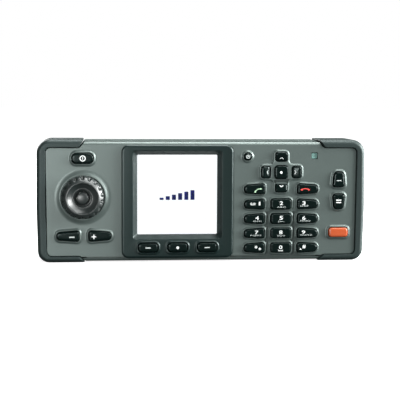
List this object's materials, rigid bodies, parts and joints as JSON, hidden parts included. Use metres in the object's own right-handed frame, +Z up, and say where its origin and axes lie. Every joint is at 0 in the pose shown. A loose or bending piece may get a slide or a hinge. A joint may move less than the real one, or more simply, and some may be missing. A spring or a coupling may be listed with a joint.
{
  "type": "radiotelephone control head",
  "caption": "Front control head of a vehicle radiotelephone: wide grey face with a framed square display, a fluted knob, keypad, navigation cross, function keys and rubber end bumpers.",
  "frame": {"origin": "centre of the bounding box in X and Y, at the surface it stands on", "axes": "+X to the right of someone facing the front, -Y out of the front face, +Z up"},
  "size_m": [0.186, 0.0406, 0.069],
  "materials": {
    "rubber": "satin black-grey moulded rubber, faintly grained",
    "face_plastic": "satin dark grey paint with a fine texture, faintly green",
    "bezel_plastic": "satin near-black plastic",
    "black_plastic": "fine-textured black plastic",
    "knob_plastic": "semi-gloss black plastic",
    "key_plastic": "semi-gloss black plastic with light printed marks",
    "orange_plastic": "glossy orange plastic",
    "lens_glass": "clear glass with a slight sheen",
    "teal_window": "translucent teal plastic",
    "white_plastic": "white diffuser",
    "circuit_board": "green solder mask",
    "silicone": "dark silicone",
    "steel": "zinc-plated steel",
    "tinned_steel": "dull tinned sheet",
    "brass": "knurled brass",
    "blank_label": "blank satin label",
    "lcd_panel": "lit white display"
  },
  "bodies": {
    "housing": {"front_shell": "face_plastic", "rear_cover": "face_plastic", "housing_gasket": "silicone", "left_bumper": "rubber", "right_bumper": "rubber", "display_bezel": "bezel_plastic", "display_lens": "lens_glass", "lcd_panel": "lcd_panel", "backlight": "white_plastic", "encoder_body": "tinned_steel", "main_board": "circuit_board", "shield_can": "tinned_steel", "keypad_mat": "silicone", "function_key_mat": "silicone", "power_key_mat": "silicone", "volume_key_mat": "silicone", "soft_key_mat": "silicone", "indicator_light_guide": "teal_window", "rear_connector": "black_plastic", "rating_plate": "blank_label", "cover_screw_1": "steel", "mount_insert_1": "brass", "cover_screw_2": "steel", "mount_insert_2": "brass", "cover_screw_3": "steel", "mount_insert_3": "brass", "cover_screw_4": "steel", "mount_insert_4": "brass"},
    "volume_knob": {"volume_knob": "knob_plastic", "encoder_shaft": "steel"},
    "knob_button": {"knob_button": "knob_plastic"},
    "power_key": {"power_key": "key_plastic"},
    "volume_down_key": {"volume_down_key": "key_plastic"},
    "volume_up_key": {"volume_up_key": "key_plastic"},
    "soft_key_left": {"soft_key_left": "key_plastic"},
    "soft_key_middle": {"soft_key_middle": "key_plastic"},
    "soft_key_right": {"soft_key_right": "key_plastic"},
    "nav_up_key": {"nav_up_key": "key_plastic"},
    "nav_down_key": {"nav_down_key": "key_plastic"},
    "nav_left_key": {"nav_left_key": "key_plastic"},
    "nav_right_key": {"nav_right_key": "key_plastic"},
    "nav_select_key": {"nav_select_key": "key_plastic"},
    "call_key": {"call_key": "key_plastic"},
    "end_key": {"end_key": "key_plastic"},
    "light_key": {"light_key": "key_plastic"},
    "function_key_upper": {"function_key_upper": "key_plastic"},
    "function_key_lower": {"function_key_lower": "key_plastic"},
    "emergency_key": {"emergency_key": "orange_plastic"},
    "key_1": {"key_1": "key_plastic"},
    "key_2": {"key_2": "key_plastic"},
    "key_3": {"key_3": "key_plastic"},
    "key_4": {"key_4": "key_plastic"},
    "key_5": {"key_5": "key_plastic"},
    "key_6": {"key_6": "key_plastic"},
    "key_7": {"key_7": "key_plastic"},
    "key_8": {"key_8": "key_plastic"},
    "key_9": {"key_9": "key_plastic"},
    "key_star": {"key_star": "key_plastic"},
    "key_0": {"key_0": "key_plastic"},
    "key_hash": {"key_hash": "key_plastic"}
  },
  "joints": [
    {"name": "volume_knob_turn", "type": "hinge", "parent": "housing", "child": "volume_knob", "pos_m": [-0.0673, -0.01075, 0.0368], "axis": [0, 1, 0], "continuous": true},
    {"name": "knob_button_press", "type": "slide", "parent": "volume_knob", "child": "knob_button", "axis": [0, 1, 0], "range_m": [0, 0.0008], "stiffness_N_per_m": 1500, "springref_m": -0.0003},
    {"name": "power_key_press", "type": "slide", "parent": "housing", "child": "power_key", "axis": [0, 1, 0], "range_m": [0, 0.0008], "stiffness_N_per_m": 1500, "springref_m": -0.0003},
    {"name": "volume_down_key_press", "type": "slide", "parent": "housing", "child": "volume_down_key", "axis": [0, 1, 0], "range_m": [0, 0.0008], "stiffness_N_per_m": 1500, "springref_m": -0.0003},
    {"name": "volume_up_key_press", "type": "slide", "parent": "housing", "child": "volume_up_key", "axis": [0, 1, 0], "range_m": [0, 0.0008], "stiffness_N_per_m": 1500, "springref_m": -0.0003},
    {"name": "soft_key_left_press", "type": "slide", "parent": "housing", "child": "soft_key_left", "axis": [0, 1, 0], "range_m": [0, 0.0008], "stiffness_N_per_m": 1500, "springref_m": -0.0003},
    {"name": "soft_key_middle_press", "type": "slide", "parent": "housing", "child": "soft_key_middle", "axis": [0, 1, 0], "range_m": [0, 0.0008], "stiffness_N_per_m": 1500, "springref_m": -0.0003},
    {"name": "soft_key_right_press", "type": "slide", "parent": "housing", "child": "soft_key_right", "axis": [0, 1, 0], "range_m": [0, 0.0008], "stiffness_N_per_m": 1500, "springref_m": -0.0003},
    {"name": "nav_up_key_press", "type": "slide", "parent": "housing", "child": "nav_up_key", "axis": [0, 1, 0], "range_m": [0, 0.0008], "stiffness_N_per_m": 1500, "springref_m": -0.0003},
    {"name": "nav_down_key_press", "type": "slide", "parent": "housing", "child": "nav_down_key", "axis": [0, 1, 0], "range_m": [0, 0.0008], "stiffness_N_per_m": 1500, "springref_m": -0.0003},
    {"name": "nav_left_key_press", "type": "slide", "parent": "housing", "child": "nav_left_key", "axis": [0, 1, 0], "range_m": [0, 0.0008], "stiffness_N_per_m": 1500, "springref_m": -0.0003},
    {"name": "nav_right_key_press", "type": "slide", "parent": "housing", "child": "nav_right_key", "axis": [0, 1, 0], "range_m": [0, 0.0008], "stiffness_N_per_m": 1500, "springref_m": -0.0003},
    {"name": "nav_select_key_press", "type": "slide", "parent": "housing", "child": "nav_select_key", "axis": [0, 1, 0], "range_m": [0, 0.0008], "stiffness_N_per_m": 1500, "springref_m": -0.0003},
    {"name": "call_key_press", "type": "slide", "parent": "housing", "child": "call_key", "axis": [0, 1, 0], "range_m": [0, 0.0008], "stiffness_N_per_m": 1500, "springref_m": -0.0003},
    {"name": "end_key_press", "type": "slide", "parent": "housing", "child": "end_key", "axis": [0, 1, 0], "range_m": [0, 0.0008], "stiffness_N_per_m": 1500, "springref_m": -0.0003},
    {"name": "light_key_press", "type": "slide", "parent": "housing", "child": "light_key", "axis": [0, 1, 0], "range_m": [0, 0.0008], "stiffness_N_per_m": 1500, "springref_m": -0.0003},
    {"name": "function_key_upper_press", "type": "slide", "parent": "housing", "child": "function_key_upper", "axis": [0, 1, 0], "range_m": [0, 0.0008], "stiffness_N_per_m": 1500, "springref_m": -0.0003},
    {"name": "function_key_lower_press", "type": "slide", "parent": "housing", "child": "function_key_lower", "axis": [0, 1, 0], "range_m": [0, 0.0008], "stiffness_N_per_m": 1500, "springref_m": -0.0003},
    {"name": "emergency_key_press", "type": "slide", "parent": "housing", "child": "emergency_key", "axis": [0, 1, 0], "range_m": [0, 0.0008], "stiffness_N_per_m": 1500, "springref_m": -0.0003},
    {"name": "key_1_press", "type": "slide", "parent": "housing", "child": "key_1", "axis": [0, 1, 0], "range_m": [0, 0.0008], "stiffness_N_per_m": 1500, "springref_m": -0.0003},
    {"name": "key_2_press", "type": "slide", "parent": "housing", "child": "key_2", "axis": [0, 1, 0], "range_m": [0, 0.0008], "stiffness_N_per_m": 1500, "springref_m": -0.0003},
    {"name": "key_3_press", "type": "slide", "parent": "housing", "child": "key_3", "axis": [0, 1, 0], "range_m": [0, 0.0008], "stiffness_N_per_m": 1500, "springref_m": -0.0003},
    {"name": "key_4_press", "type": "slide", "parent": "housing", "child": "key_4", "axis": [0, 1, 0], "range_m": [0, 0.0008], "stiffness_N_per_m": 1500, "springref_m": -0.0003},
    {"name": "key_5_press", "type": "slide", "parent": "housing", "child": "key_5", "axis": [0, 1, 0], "range_m": [0, 0.0008], "stiffness_N_per_m": 1500, "springref_m": -0.0003},
    {"name": "key_6_press", "type": "slide", "parent": "housing", "child": "key_6", "axis": [0, 1, 0], "range_m": [0, 0.0008], "stiffness_N_per_m": 1500, "springref_m": -0.0003},
    {"name": "key_7_press", "type": "slide", "parent": "housing", "child": "key_7", "axis": [0, 1, 0], "range_m": [0, 0.0008], "stiffness_N_per_m": 1500, "springref_m": -0.0003},
    {"name": "key_8_press", "type": "slide", "parent": "housing", "child": "key_8", "axis": [0, 1, 0], "range_m": [0, 0.0008], "stiffness_N_per_m": 1500, "springref_m": -0.0003},
    {"name": "key_9_press", "type": "slide", "parent": "housing", "child": "key_9", "axis": [0, 1, 0], "range_m": [0, 0.0008], "stiffness_N_per_m": 1500, "springref_m": -0.0003},
    {"name": "key_star_press", "type": "slide", "parent": "housing", "child": "key_star", "axis": [0, 1, 0], "range_m": [0, 0.0008], "stiffness_N_per_m": 1500, "springref_m": -0.0003},
    {"name": "key_0_press", "type": "slide", "parent": "housing", "child": "key_0", "axis": [0, 1, 0], "range_m": [0, 0.0008], "stiffness_N_per_m": 1500, "springref_m": -0.0003},
    {"name": "key_hash_press", "type": "slide", "parent": "housing", "child": "key_hash", "axis": [0, 1, 0], "range_m": [0, 0.0008], "stiffness_N_per_m": 1500, "springref_m": -0.0003}
  ]
}
